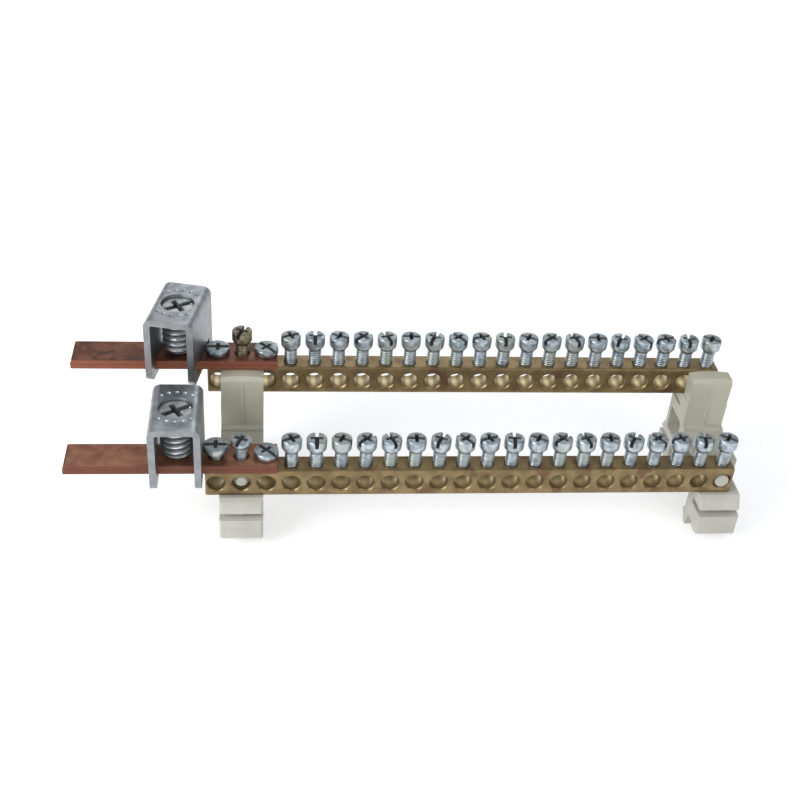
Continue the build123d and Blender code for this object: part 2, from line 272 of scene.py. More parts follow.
@dataclass(frozen=True)
class HeadForm:
    """A screw head standing on Z = 0, with a slot along X and a shorter cross slot along Y."""

    radius: float
    height: float
    neck_radius: float
    neck_height: float
    rim_round: float
    slot_width: float
    cross_width: float
    cross_reach: float
    slot_depth: float
    edge: float
    dome: float = 0.08 * MM
    steps: int = 40

    def top_height(self, radius: np.ndarray) -> np.ndarray:
        """Height of the top at a radius: a quarter circle down at the rim, and a slight dome over the rest.

        Args:
            radius: Distances from the head's axis.

        Returns:
            The heights at those distances.
        """
        over = np.clip(radius - (self.radius - self.rim_round), 0, self.rim_round)
        fall = self.rim_round - np.sqrt(self.rim_round**2 - over**2)
        return self.height - fall - self.dome * (radius / self.radius) ** 2

    def core(self) -> Surface:
        """The head below its slots: neck cone, rim and the floor of the slots in painted shade, turned about
        Z.

        Returns:
            The core as a closed surface.
        """
        floor = self.height - self.slot_depth
        profile = np.array(
            [
                (0.0, 0.0, 0.0),
                (self.neck_radius, 0.0, 0.0),
                (self.radius - self.edge, self.neck_height - self.edge, 0.0),
                (self.radius, self.neck_height + self.edge, 0.0),
                (self.radius, floor, 0.0),
                # The slots' floor is in painted shade.
                (self.radius - 2 * self.edge, floor, 1.0),
                (0.0, floor, 1.0),
            ]
        )
        return revolved(profile, self.steps)

    def columns(self) -> tuple[np.ndarray, np.ndarray]:
        """Places along the slot of a land's columns, and how far from the slot's middle each column starts.

        Columns stand closer towards the rim, as the sine of an even angle, and two stand at each wall of the
        cross slot. Those between the walls start at the cross slot's end.

        Returns:
            X and the first Y of each column.
        """
        near, side = self.slot_width / 2, self.cross_width / 2
        reach = math.sqrt(self.radius**2 - near**2)
        swing = reach * np.sin(np.radians(np.linspace(-90, 90, self.steps // 2 + 1)))
        left = swing[swing < -CROSS_MARGIN * side]
        x = np.concatenate([left, [-side, -side, -side / 3, side / 3, side, side], -left[::-1]])
        start = np.full(len(x), near)
        start[len(left) + 1 : len(x) - len(left) - 1] = self.cross_reach
        return x, start

    def half(self) -> Surface:
        """The land on one side of the slot, with the end of the cross slot cut into its straight side.

        Columns stand along the slot. In a column the rows climb the slot's wall, cross the top at the heights
        of top_height and go down the rim. The last row joins the first below the slots' floor.

        Returns:
            The land as a closed surface.
        """
        x, start = self.columns()
        end = np.sqrt(np.maximum(self.radius**2 - x**2, (self.slot_width / 2) ** 2))
        span = end - start
        round_off = np.minimum(self.rim_round, ROUND_LIMIT * span)
        wall_top = self.top_height(np.hypot(x, start)) - self.edge
        foot = np.full(len(x), self.height - self.slot_depth - self.edge)
        # Painted shade on the slot walls, lips and lands, kept off the rim.
        inner = np.hypot(x, start) < self.radius - UNSHADED_RIM * self.edge
        across = [
            (start + np.minimum(self.edge, EDGE_LIMIT * span), LIP_SHADE),
            (start + span / 2 - MIDDLE_SHIFT * round_off, MIDDLE_SHADE),
        ]
        across += [(end - share * round_off, painted_shading) for share, painted_shading in RIM_ROWS]
        rows = [(start, foot, inner * 1.0), (start, wall_top, inner * WALL_SHADE)]
        rows += [(y, self.top_height(np.hypot(x, y)), inner * painted_shading) for y, painted_shading in across]
        rows += [(end, foot, inner * 0.0), (start, foot, inner * 0.0)]
        points = np.stack([np.column_stack([x, y, z]) for y, z, _ in rows])
        return Surface.grid(points, painted_shading=np.stack([shade for _, _, shade in rows]))

    def surface(self) -> Surface:
        """The whole head."""
        land = self.half()
        return Surface.joined([self.core(), land, land.placed((0, 0, 0), 180.0)])


def math_node(
    tree: bpy.types.NodeTree, operation: str, *values: "float | bpy.types.NodeSocket", clamp: bool = False
) -> bpy.types.NodeSocket:
    """Adds a Math node.

    Args:
        tree: The nodes that it joins.
        operation: What it does.
        values: Its inputs, as numbers or sockets.
        clamp: Whether the result stays between nought and one.

    Returns:
        The socket of the result.
    """
    node = tree.nodes.new("ShaderNodeMath")
    node.operation = operation
    node.use_clamp = clamp
    for socket, value in zip(node.inputs, values):
        if isinstance(value, bpy.types.NodeSocket):
            tree.links.new(value, socket)
        else:
            socket.default_value = value
    return node.outputs[0]


def ease_node(
    tree: bpy.types.NodeTree,
    value: bpy.types.NodeSocket,
    span: tuple[float, float],
    levels: tuple[float, float] = (0.0, 1.0),
) -> bpy.types.NodeSocket:
    """Maps a value smoothly from the first level at the span's start to the second at its end.

    Args:
        tree: The nodes that it joins.
        value: The value.
        span: Where the change starts and ends.
        levels: What comes out there.

    Returns:
        The socket of the result.
    """
    node = tree.nodes.new("ShaderNodeMapRange")
    node.interpolation_type = "SMOOTHSTEP"
    node.inputs["From Min"].default_value, node.inputs["From Max"].default_value = span
    node.inputs["To Min"].default_value, node.inputs["To Max"].default_value = levels
    tree.links.new(value, node.inputs["Value"])
    return node.outputs["Result"]


@dataclass(frozen=True)
class Finish:
    """A procedural surface finish on Object coordinates.

    Painted shading is the colour that a piece's painted shading attribute brings in: painted shade in the
    slots and thread grooves of a screw and on upright faces, painted light in a drilled bore. Upper is a
    second colour
    that comes in with height: on the supports, painted shade over their upper parts.
    """

    name: str
    light: tuple[float, float, float]
    dark: tuple[float, float, float]
    metallic: float
    roughness: tuple[float, float]
    blotch_size: float
    # Colour of the painted light or shade, and the roughness that comes with it.
    painted_shading: tuple[float, float, float] = (0.20, 0.20, 0.20)
    painted_shading_roughness: float = 0.6
    grain_stretch: tuple[float, float, float] = (1.0, 1.0, 1.0)
    grain_size: float = 0.4 * MM
    grain_bump: float = 0.15
    stain: tuple[float, float, float] | None = None
    stain_share: float = 0.0
    stain_size: float = 6 * MM
    subsurface: float = 0.0
    # Painted shade that comes in with height, and where it starts and ends.
    upper: tuple[float, float, float] | None = None
    upper_heights: tuple[float, float] = (10 * MM, 32 * MM)

    def material(self) -> bpy.types.Material:
        """Builds the material once and hands the same one out afterwards.

        A fine noise that may be stretched along one axis gives the grain in roughness and bump.

        Returns:
            The node material.
        """
        found = bpy.data.materials.get(self.name)
        if found:
            return found
        material = bpy.data.materials.new(self.name)
        material.use_nodes = True
        tree = material.node_tree
        shader = tree.nodes["Principled BSDF"]
        shader.inputs["Metallic"].default_value = self.metallic
        if self.subsurface:
            shader.inputs["Subsurface Weight"].default_value = self.subsurface
            shader.inputs["Subsurface Radius"].default_value = SUBSURFACE_RADIUS
            shader.inputs["Subsurface Scale"].default_value = SUBSURFACE_SCALE
        place = tree.nodes.new("ShaderNodeTexCoord").outputs["Object"]
        attribute = tree.nodes.new("ShaderNodeAttribute")
        attribute.attribute_name = "painted_shading"
        painted_shading = attribute.outputs["Fac"]
        tree.links.new(self._colour(tree, place, painted_shading), shader.inputs["Base Color"])
        grain = self._noise(tree, place, self.grain_size, GRAIN_DETAIL, self.grain_stretch)
        rough = tree.nodes.new("ShaderNodeMapRange")
        rough.inputs["To Min"].default_value, rough.inputs["To Max"].default_value = self.roughness
        tree.links.new(grain, rough.inputs["Value"])
        dulled = math_node(
            tree, "MULTIPLY_ADD", painted_shading, self.painted_shading_roughness, rough.outputs["Result"], clamp=True
        )
        tree.links.new(dulled, shader.inputs["Roughness"])
        bump = tree.nodes.new("ShaderNodeBump")
        bump.inputs["Strength"].default_value = self.grain_bump
        bump.inputs["Distance"].default_value = GRAIN_HEIGHT
        tree.links.new(grain, bump.inputs["Height"])
        tree.links.new(bump.outputs["Normal"], shader.inputs["Normal"])
        return material

    def _colour(
        self, tree: bpy.types.NodeTree, place: bpy.types.NodeSocket, painted_shading: bpy.types.NodeSocket
    ) -> bpy.types.NodeSocket:
        """Lays the colours over each other: dark to light by a soft noise, a stain, the upper painted shade
        and the painted shading.

        Args:
            tree: The material's nodes.
            place: The coordinates.
            painted_shading: How much painted light or shade there is.

        Returns:
            The base colour.
        """
        blotch = self._noise(tree, place, self.blotch_size, BLOTCH_DETAIL)
        colour = self._mix(tree, ease_node(tree, blotch, BLOTCH_EDGES), self.dark, self.light)
        if self.stain is not None:
            stain = self._noise(tree, place, self.stain_size, STAIN_DETAIL)
            edge = 0.5 + (0.5 - self.stain_share) * STAIN_SPREAD
            share = ease_node(tree, stain, (edge, edge + STAIN_SOFTNESS))
            colour = self._mix(tree, share, colour, self.stain)
        # The upper colour is painted shade over the upper parts.
        if self.upper is not None:
            axes = tree.nodes.new("ShaderNodeSeparateXYZ")
            tree.links.new(place, axes.inputs[0])
            share = ease_node(tree, axes.outputs["Z"], self.upper_heights)
            colour = self._mix(tree, share, colour, self.upper)
        return self._mix(tree, painted_shading, colour, self.painted_shading)

    @staticmethod
    def _noise(
        tree: bpy.types.NodeTree,
        place: bpy.types.NodeSocket,
        size: float,
        detail: float,
        stretch: tuple[float, float, float] = (1.0, 1.0, 1.0),
    ) -> bpy.types.NodeSocket:
        """A noise on the given coordinates, stretched by a mapping.

        Args:
            tree: The material's nodes.
            place: The coordinates.
            size: Size of its features.
            detail: Octaves.
            stretch: Scale of the coordinates along each axis.

        Returns:
            The noise's value.
        """
        mapping = tree.nodes.new("ShaderNodeMapping")
        mapping.inputs["Scale"].default_value = stretch
        noise = tree.nodes.new("ShaderNodeTexNoise")
        noise.inputs["Scale"].default_value = 1 / size
        noise.inputs["Detail"].default_value = detail
        tree.links.new(place, mapping.inputs["Vector"])
        tree.links.new(mapping.outputs["Vector"], noise.inputs["Vector"])
        return noise.outputs["Fac"]

    @staticmethod
    def _mix(
        tree: bpy.types.NodeTree,
        share: bpy.types.NodeSocket,
        first: "tuple[float, float, float] | bpy.types.NodeSocket",
        second: "tuple[float, float, float] | bpy.types.NodeSocket",
    ) -> bpy.types.NodeSocket:
        """Mixes two colours.

        Args:
            tree: The material's nodes.
            share: How much of the second colour there is.
            first: The colour at nought, as a value or as a socket.
            second: The colour at one.

        Returns:
            The mixed colour.
        """
        node = tree.nodes.new("ShaderNodeMix")
        node.data_type = "RGBA"
        tree.links.new(share, node.inputs["Factor"])
        for name, colour in (("A", first), ("B", second)):
            socket = next(s for s in node.inputs if s.name == name and s.type == "RGBA")
            if isinstance(colour, bpy.types.NodeSocket):
                tree.links.new(colour, socket)
            else:
                socket.default_value = (*colour, 1.0)
        return next(s for s in node.outputs if s.type == "RGBA")


FINISHES = {
    Slot.BRASS_BAR: Finish(
        "aged brass",
        light=(0.295, 0.215, 0.108),
        dark=(0.19, 0.137, 0.067),
        metallic=0.85,
        roughness=(0.28, 0.46),
        blotch_size=5 * MM,
        grain_stretch=(0.06, 1.0, 1.0),
        stain=(0.18, 0.105, 0.062),
        stain_share=0.35,
        # Light brass on the bores' walls: painted light.
        painted_shading=(0.74, 0.60, 0.35),
        painted_shading_roughness=0.0,
    ),
    Slot.COPPER_TAIL: Finish(
        "dull copper",
        light=(0.40, 0.19, 0.116),
        dark=(0.26, 0.112, 0.069),
        metallic=0.6,
        roughness=(0.36, 0.52),
        blotch_size=4 * MM,
        grain_stretch=(0.05, 1.0, 1.0),
        stain=(0.20, 0.09, 0.06),
        stain_share=0.3,
        stain_size=5 * MM,
        # Darker copper on the strips' upright faces: painted shade.
        painted_shading=(0.17, 0.06, 0.035),
        painted_shading_roughness=0.1,
    ),
    Slot.ZINC_SCREW: Finish(
        "bright zinc",
        light=(0.59, 0.65, 0.69),
        dark=(0.28, 0.335, 0.375),
        metallic=1.0,
        roughness=(0.28, 0.42),
        blotch_size=1.8 * MM,
        grain_bump=0.02,
        stain=(0.45, 0.50, 0.475),
        stain_share=0.5,
        stain_size=14 * MM,
    ),
    Slot.BRASS_SCREW: Finish(
        "yellow passivated screw",
        light=(0.40, 0.35, 0.24),
        dark=(0.20, 0.165, 0.10),
        metallic=1.0,
        roughness=(0.28, 0.45),
        blotch_size=1.5 * MM,
        grain_bump=0.04,
    ),
    Slot.ZINC_STRAP: Finish(
        "zinc plated strap",
        light=(0.49, 0.515, 0.54),
        dark=(0.31, 0.33, 0.35),
        metallic=1.0,
        roughness=(0.30, 0.50),
        blotch_size=3 * MM,
        # Darker zinc on the strap's upright faces: painted shade.
        painted_shading=(0.23, 0.24, 0.255),
        painted_shading_roughness=0.0,
        stain=(0.40, 0.40, 0.38),
        stain_share=0.3,
        grain_bump=0.1,
    ),
    Slot.PLASTIC: Finish(
        "cream moulded plastic",
        light=(0.60, 0.59, 0.53),
        dark=(0.53, 0.52, 0.465),
        metallic=0.0,
        roughness=(0.38, 0.52),
        blotch_size=9 * MM,
        grain_size=0.25 * MM,
        grain_bump=0.05,
        subsurface=0.1,
        # Upper colour: painted shade over the supports' upper parts.
        upper=(0.50, 0.485, 0.385),
    ),
}

# The rear strips: a darker copy of the copper as painted shade for the row further from the lamps, with their
# own dark speckles; their upright faces take a lighter colour as painted light.
REAR_COPPER_FINISH = replace(
    FINISHES[Slot.COPPER_TAIL],
    name="darker copper",
    light=(0.245, 0.10, 0.06),
    dark=(0.13, 0.05, 0.031),
    stain=(0.09, 0.043, 0.03),
    stain_share=0.5,
    stain_size=5 * MM,
    painted_shading=(0.32, 0.11, 0.065),
)

# The pressure screws: a lighter copy of the zinc as painted light for the screw deep in its strap, with its
# own yellowish tint; their slots and thread grooves take dark painted shade.
LUG_SCREW_FINISH = replace(
    FINISHES[Slot.ZINC_SCREW],
    name="yellowish zinc",
    light=(0.86, 0.88, 0.86),
    dark=(0.58, 0.61, 0.60),
    painted_shading=(0.13, 0.155, 0.18),
    stain=(0.66, 0.69, 0.60),
    stain_share=0.4,
    stain_size=4 * MM,
)


def make_piece(
    name: str,
    surface: Surface,
    slot: Slot,
    nodes: list[str],
    finish: Finish | None = None,
    sharp_angle: float = SHARP_ANGLE,
) -> bpy.types.Object:
    """Turns a surface into a finished piece that stands for frame nodes.

    Doubles are merged and the faces turned outwards before the piece gets its material and rides on its body.

    Args:
        name: The piece's name.
        surface: Its points and faces.
        slot: Its material slot.
        nodes: The frame nodes that it stands for.
        finish: Its finish, where that isn't the slot's own.
        sharp_angle: Edges that turn more than this stay sharp.

    Returns:
        The new object.
    """
    mesh = bpy.data.meshes.new(name)
    mesh.from_pydata(surface.points.tolist(), [], surface.quads.tolist())
    shade = mesh.attributes.new("painted_shading", "FLOAT", "POINT")
    shade.data.foreach_set("value", surface.painted_shading.astype(np.float32))
    shell = bmesh.new()
    shell.from_mesh(mesh)
    bmesh.ops.remove_doubles(shell, verts=shell.verts, dist=MERGE_DISTANCE)
    bmesh.ops.recalc_face_normals(shell, faces=shell.faces)
    shell.to_mesh(mesh)
    shell.free()
    return finish_piece(name, mesh, nodes, finish or FINISHES[slot], sharp_angle)


def finish_piece(
    name: str, mesh: bpy.types.Mesh, nodes: list[str], finish: Finish, sharp_angle: float
) -> bpy.types.Object:
    """Shades a mesh, dresses it and makes it ride in place of frame nodes.

    Args:
        name: The piece's name.
        mesh: Its mesh, in place.
        nodes: The frame nodes that it stands for.
        finish: Its finish.
        sharp_angle: Edges that turn more than this stay sharp.

    Returns:
        The new object.
    """
    mesh.polygons.foreach_set("use_smooth", np.ones(len(mesh.polygons), dtype=bool))
    mesh.set_sharp_from_angle(angle=math.radians(sharp_angle))
    mesh.materials.clear()
    mesh.materials.append(finish.material())
    piece = bpy.data.objects.new(name, mesh)
    bpy.context.scene.collection.objects.link(piece)
    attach(piece, BODY)
    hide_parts(*nodes)
    LOG.info("%s: %d faces", name, len(mesh.polygons))
    return piece


def refine_node(
    node: str,
    slot: Slot,
    bevel: float,
    segments: int = 2,
    finish: Finish | None = None,
    side_painted_shading: float = 0.0,
) -> bpy.types.Object:
    """Gives a frame node's shape soft edges: its copy is merged, its flat faces joined, and a bevel is added.

    Args:
        node: The frame node.
        slot: The material slot.
        bevel: Width of the bevel.
        segments: Steps across the bevel.
        finish: Its finish, where that isn't the slot's own.
        side_painted_shading: Painted light or shade on the faces that stand upright.

    Returns:
        The piece that stands for the node.
    """
    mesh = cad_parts[node].data.copy()
    shell = bmesh.new()
    shell.from_mesh(mesh)
    bmesh.ops.remove_doubles(shell, verts=shell.verts, dist=MERGE_DISTANCE)
    flat = math.radians(FLAT_ANGLE)
    bmesh.ops.dissolve_limit(shell, angle_limit=flat, verts=shell.verts, edges=shell.edges)
    shell.to_mesh(mesh)
    shell.free()
    normals = np.empty(3 * len(mesh.polygons), dtype=np.float32)
    mesh.polygons.foreach_get("normal", normals)
    # Upright faces take the finish's painted light or shade.
    shade = mesh.attributes.new("painted_shading", "FLOAT", "FACE")
    upright = np.abs(normals[2::3]) < UPRIGHT_LIMIT
    shade.data.foreach_set("value", np.where(upright, side_painted_shading, 0.0).astype(np.float32))
    finish = finish or FINISHES[slot]
    piece = finish_piece(f"{node}_refined", mesh, [node], finish, REFINED_SHARP_ANGLE)
    modifier = piece.modifiers.new("soft edges", "BEVEL")
    modifier.width = bevel
    modifier.segments = segments
    modifier.limit_method = "ANGLE"
    modifier.angle_limit = math.radians(BEVEL_ANGLE)
    modifier.use_clamp_overlap = True
    modifier.harden_normals = True
    return piece


def hole_x(row: Row, number: int) -> float:
    """X of a wire hole of a bar, counted from nought at the left."""
    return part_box(f"{row.value}_bar")[0].x + END_MARGIN + number * HOLE_PITCH


@dataclass
class BrassBar:
    """A drilled bar: tiled faces round its holes, rounded long edges, bevelled ends and hole mouths."""

    row: Row
    hole_radius: float = 2.65 * MM
    mouth_chamfer: float = 0.4 * MM
    thread_radius: float = 2.05 * MM
    thread_chamfer: float = 0.15 * MM
    thread_chamfer_depth: float = 0.2 * MM
    crown_gap: float = 0.05 * MM
    edge_radius: float = 0.45 * MM
    end_bevel: float = 0.3 * MM
    # Share of painted light on the bores' walls.
    bore_painted_light: float = 1.0
    side_steps: int = 12
    arc_steps: int = 4
    low: np.ndarray = field(init=False)
    high: np.ndarray = field(init=False)

    def __post_init__(self) -> None:
        """Reads the bar's corners from the frame."""
        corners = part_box(f"{self.row.value}_bar")
        self.low, self.high = np.array(corners[0]), np.array(corners[1])

    def tile_limits(self) -> np.ndarray:
        """X of the lines between the tiles, with the bevelled ends as the outermost two.

        Returns:
            One more place than there are holes.
        """
        first = hole_x(self.row, 0)
        lines = first + HOLE_PITCH * (np.arange(HOLE_COUNT + 1) - 0.5)
        lines[0] = self.low[0] + self.end_bevel
        lines[-1] = self.high[0] - self.end_bevel
        return lines

    def along(self) -> np.ndarray:
        """X of every point along the bar, so that all faces share their edges.

        Returns:
            The places from left to right.
        """
        lines = self.tile_limits()
        shares = np.arange(self.side_steps) / self.side_steps
        inner = lines[:-1, None] + (lines[1:] - lines[:-1])[:, None] * shares
        return np.append(inner.ravel(), lines[-1])

    def tiles(self, radius: float, centre: float, low: float, high: float) -> np.ndarray:
        """Flat tiles with a round hole, as rings from the hole's circle out to the tile's edge.

        A point at share t between the circle point c and the edge point e is c + t (e - c).

        Args:
            radius: The circle's radius.
            centre: The circle's centre across the bar.
            low: The tile's lower edge across the bar.
            high: The tile's upper edge across the bar.

        Returns:
            Places along and across the bar, shape (holes, rings, points, 2).
        """
        lines = self.tile_limits()
        steps = np.arange(self.side_steps) / self.side_steps
        left, right = lines[:-1, None], lines[1:, None]
        ones = np.ones((HOLE_COUNT, 1))
        edge_x = np.concatenate(
            [
                right + 0 * steps,
                right + (left - right) * steps,
                left + 0 * steps,
                left + (right - left) * steps,
            ],
            axis=1,
        )
        edge_c = np.concatenate(
            [
                ones * (low + (high - low) * steps),
                ones * (high + 0 * steps),
                ones * (high + (low - high) * steps),
                ones * (low + 0 * steps),
            ],
            axis=1,
        )
        centres = hole_x(self.row, 0) + HOLE_PITCH * np.arange(HOLE_COUNT)[:, None]
        angles = np.arctan2(edge_c - centre, edge_x - centres)
        circle_x = centres + radius * np.cos(angles)
        circle_c = centre + radius * np.sin(angles)
        shares = np.array(TILE_RINGS)[None, :, None]
        x = circle_x[:, None, :] + (edge_x - circle_x)[:, None, :] * shares
        c = circle_c[:, None, :] + (edge_c - circle_c)[:, None, :] * shares
        return np.stack([x, c], axis=-1)

    def drilled_face(
        self,
        radius: float,
        centre: float,
        low: float,
        high: float,
        depths: list[tuple[float, float]],
        upright: bool,
    ) -> Surface:
        """A face of the bar with a row of holes.

        The tiles lie in the face, and the hole's circle is carried inwards through rings of given radii.

        Args:
            radius: Radius of the mouth.
            centre: Height or depth of the holes' centres.
            low: Lower edge of the flat face.
            high: Upper edge of the flat face.
            depths: Radius and place across the bar of each further ring of the hole.
            upright: True for a face that looks along Y, false for the top.

        Returns:
            The tiles and the holes' walls.
        """
        rings = self.tiles(radius, centre, low, high)
        start = depths[0][1]
        flat = np.concatenate([rings, np.full((*rings.shape[:3], 1), start)], axis=-1)
        centres = hole_x(self.row, 0) + HOLE_PITCH * np.arange(HOLE_COUNT)[:, None]
        mouth = rings[:, 0]
        walls = []
        for ring_radius, place in depths:
            x = centres + (mouth[..., 0] - centres) * ring_radius / radius
            c = centre + (mouth[..., 1] - centre) * ring_radius / radius
            walls.append(np.stack([x, c, np.full(x.shape, place)], axis=-1))
        wall = np.stack(walls, axis=1)
        order = [0, 2, 1] if upright else [0, 1, 2]
        # The bores' walls past the mouth take the painted light.
        depth = np.clip(np.arange(len(depths)) - 1, 0, 1)[:, None]
        parts = []
        for block, painted_shading in ((flat, 0.0), (wall, depth * self.bore_painted_light)):
            for tile in block:
                parts.append(Surface.grid(tile[..., order], close_columns=True, painted_shading=painted_shading))
        return Surface.joined(parts)

    def outline(self) -> tuple[np.ndarray, list[slice]]:
        """Closed outline of the bar's section in Y and Z, with rounded corners.

        Returns:
            The outline's points, and the stretches of it that are the four rounded corners.
        """
        (_, front, bottom), (_, back, top) = self.low, self.high
        r = self.edge_radius
        steps = np.arange(1, self.side_steps)[:, None] / self.side_steps
        corners = [
            ((front + r, bottom + r), 270.0, 180.0),
            ((front + r, top - r), 180.0, 90.0),
            ((back - r, top - r), 90.0, 0.0),
            ((back - r, bottom + r), 0.0, -90.0),
        ]
        arcs = [arc(c, r, start, end, self.arc_steps) for c, start, end in corners]
        points, stretches, count = [], [], 0
        for number, corner in enumerate(arcs):
            following = arcs[(number + 1) % len(arcs)]
            points.append(corner)
            stretches.append(slice(count, count + len(corner)))
            count += len(corner)
            if number < 3:
                points.append(corner[-1] + (following[0] - corner[-1]) * steps)
                count += len(steps)
        return np.concatenate(points), stretches

    def drilled_faces(self) -> list[Surface]:
        """The front and the back with the wire holes, and the top with the threaded holes.

        The wire holes come in from both sides to the bar's middle. The threaded holes end just above them.

        Returns:
            The three faces with the walls of their holes.
        """
        (_, front, bottom), (_, back, top) = self.low, self.high
        edge, chamfer = self.edge_radius, self.mouth_chamfer
        middle = (front + back) / 2
        hole_z = bottom + HOLE_OVER_UNDERSIDE
        mouth = self.hole_radius + chamfer
        faces = []
        for face, inward in ((front, chamfer), (back, -chamfer)):
            wall = [(mouth, face), (self.hole_radius, face + inward), (self.hole_radius, middle)]
            faces.append(self.drilled_face(mouth, hole_z, bottom + edge, top - edge, wall, True))
        mouth = self.thread_radius + self.thread_chamfer
        crown = hole_z + self.hole_radius + self.crown_gap
        wall = [
            (mouth, top),
            (self.thread_radius, top - self.thread_chamfer_depth),
            (self.thread_radius, crown),
            (0.0, crown),
        ]
        faces.append(self.drilled_face(mouth, middle, front + edge, back - edge, wall, False))
        return faces

    def swept(self, line: np.ndarray) -> Surface:
        """Carries a line in Y and Z along the bar: each of its points repeats at every place along X.

        Args:
            line: The line's points, shape (k, 2).

        Returns:
            The strip that the line sweeps.
        """
        along = self.along()
        shape = (len(along), len(line))
        x = np.broadcast_to(along[:, None], shape)
        y = np.broadcast_to(line[None, :, 0], shape)
        z = np.broadcast_to(line[None, :, 1], shape)
        return Surface.grid(np.stack([x, y, z], axis=-1))

    def long_sides(self) -> list[Surface]:
        """The four rounded long edges and the plain underside.

        Returns:
            Their strips.
        """
        (_, front, bottom), (_, back, _) = self.low, self.high
        outline, corners = self.outline()
        under = np.array([[front + self.edge_radius, bottom], [back - self.edge_radius, bottom]])
        return [self.swept(outline[stretch]) for stretch in corners] + [self.swept(under)]

    def ends(self) -> list[Surface]:
        """The two ends: the outline, the same drawn in by the bevel, and a point in the middle.

        A point p goes to c + (p - c) s about the middle c, where s takes the bevel's width off the longer of
        the point's two distances.

        Returns:
            The left end and the right end.
        """
        (_, front, bottom), (_, back, top) = self.low, self.high
        outline, _ = self.outline()
        centre = np.array([(front + back) / 2, (bottom + top) / 2])
        shrink = 1 - self.end_bevel / np.abs(outline - centre).max(axis=1, keepdims=True)
        drawn_in = centre + (outline - centre) * shrink
        ends = []
        for end, inward in ((self.low[0], self.end_bevel), (self.high[0], -self.end_bevel)):
            rings = [(end + inward, outline), (end, drawn_in), (end, 0 * outline + centre)]
            grid = np.stack([np.column_stack([np.full(len(ring), x), ring]) for x, ring in rings])
            ends.append(Surface.grid(grid, close_columns=True))
        return ends

    def build(self) -> bpy.types.Object:
        """Builds the bar from its drilled faces, its long sides and its ends.

        Returns:
            The bar.
        """
        name = self.row.value
        whole = Surface.joined(self.drilled_faces() + self.long_sides() + self.ends())
        return make_piece(f"{name}_brass_bar", whole, Slot.BRASS_BAR, [f"{name}_bar"])


@dataclass
class ScrewSet:
    """The clamp screws and tail screws of one bar, with cut threads and crossed heads."""

    row: Row
    clamp_head: HeadForm = HeadForm(
        radius=3.1 * MM,
        height=4.8 * MM,
        neck_radius=2.0 * MM,
        neck_height=1.5 * MM,
        rim_round=0.4 * MM,
        slot_width=1.15 * MM,
        cross_width=1.15 * MM,
        cross_reach=1.9 * MM,
        slot_depth=1.92 * MM,
        edge=0.1 * MM,
    )
    tail_head: HeadForm = HeadForm(
        radius=3.7 * MM,
        height=2.4 * MM,
        neck_radius=2.0 * MM,
        neck_height=0.3 * MM,
        rim_round=0.4 * MM,
        slot_width=1.15 * MM,
        cross_width=1.15 * MM,
        cross_reach=1.9 * MM,
        slot_depth=0.96 * MM,
        edge=0.1 * MM,
    )
    low_head_height: float = 3.0 * MM
    low_head_slot: float = 1.2 * MM
    # Faint painted shade in the clamp screws' thread grooves.
    thread: ThreadForm = ThreadForm(radius=2.0 * MM, pitch=0.7 * MM, depth=0.12 * MM, painted_shading=0.15)
    tip_radius: float = 1.5 * MM
    tip_height: float = 0.5 * MM
    shank_in_head: float = 0.05 * MM

    def screw(self, head: HeadForm, length: float) -> Surface:
        """One screw with the underside of its head at Z = 0."""
        shank = self.thread.surface(-length, self.shank_in_head, self.tip_radius, self.tip_height)
        return Surface.joined([shank, head.surface()])

    def place(self, kind: str, head: HeadForm, numbers: "list[int] | range", slot: Slot) -> bpy.types.Object:
        """Sets screws into their holes at the heights that the frame gives.

        Args:
            kind: The frame node that holds these screws, without its row.
            head: The form of their heads.
            numbers: The holes that they stand in.
            slot: Their material slot.

        Returns:
            One piece with all the screws.
        """
        node = f"{self.row.value}_{kind}"
        low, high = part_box(node)
        underside = high.z - head.height
        screw = self.screw(head, underside - low.z)
        y = (low.y + high.y) / 2
        parts = [screw.placed((hole_x(self.row, n), y, underside), n * HEAD_TURN_STEP) for n in numbers]
        return make_piece(f"{node}_threaded", Surface.joined(parts), slot, [node])

    def build(self) -> list[bpy.types.Object]:
        """Builds every screw of the row. The small tail screw is yellow behind, and lower in front.

        Returns:
            The four pieces.
        """
        small_slot, small_head = Slot.BRASS_SCREW, self.clamp_head
        if self.row is Row.FRONT:
            small_slot = Slot.ZINC_SCREW
            small_head = replace(self.clamp_head, height=self.low_head_height, slot_depth=self.low_head_slot)
        clamp_holes = range(FIRST_CLAMP_HOLE, HOLE_COUNT)
        return [
            self.place("clamp_screws", self.clamp_head, clamp_holes, Slot.ZINC_SCREW),
            self.place("tail_screw_left", self.tail_head, [0], Slot.ZINC_SCREW),
            self.place("tail_screw_small", small_head, [1], small_slot),
            self.place("tail_screw_right", self.tail_head, [2], Slot.ZINC_SCREW),
        ]


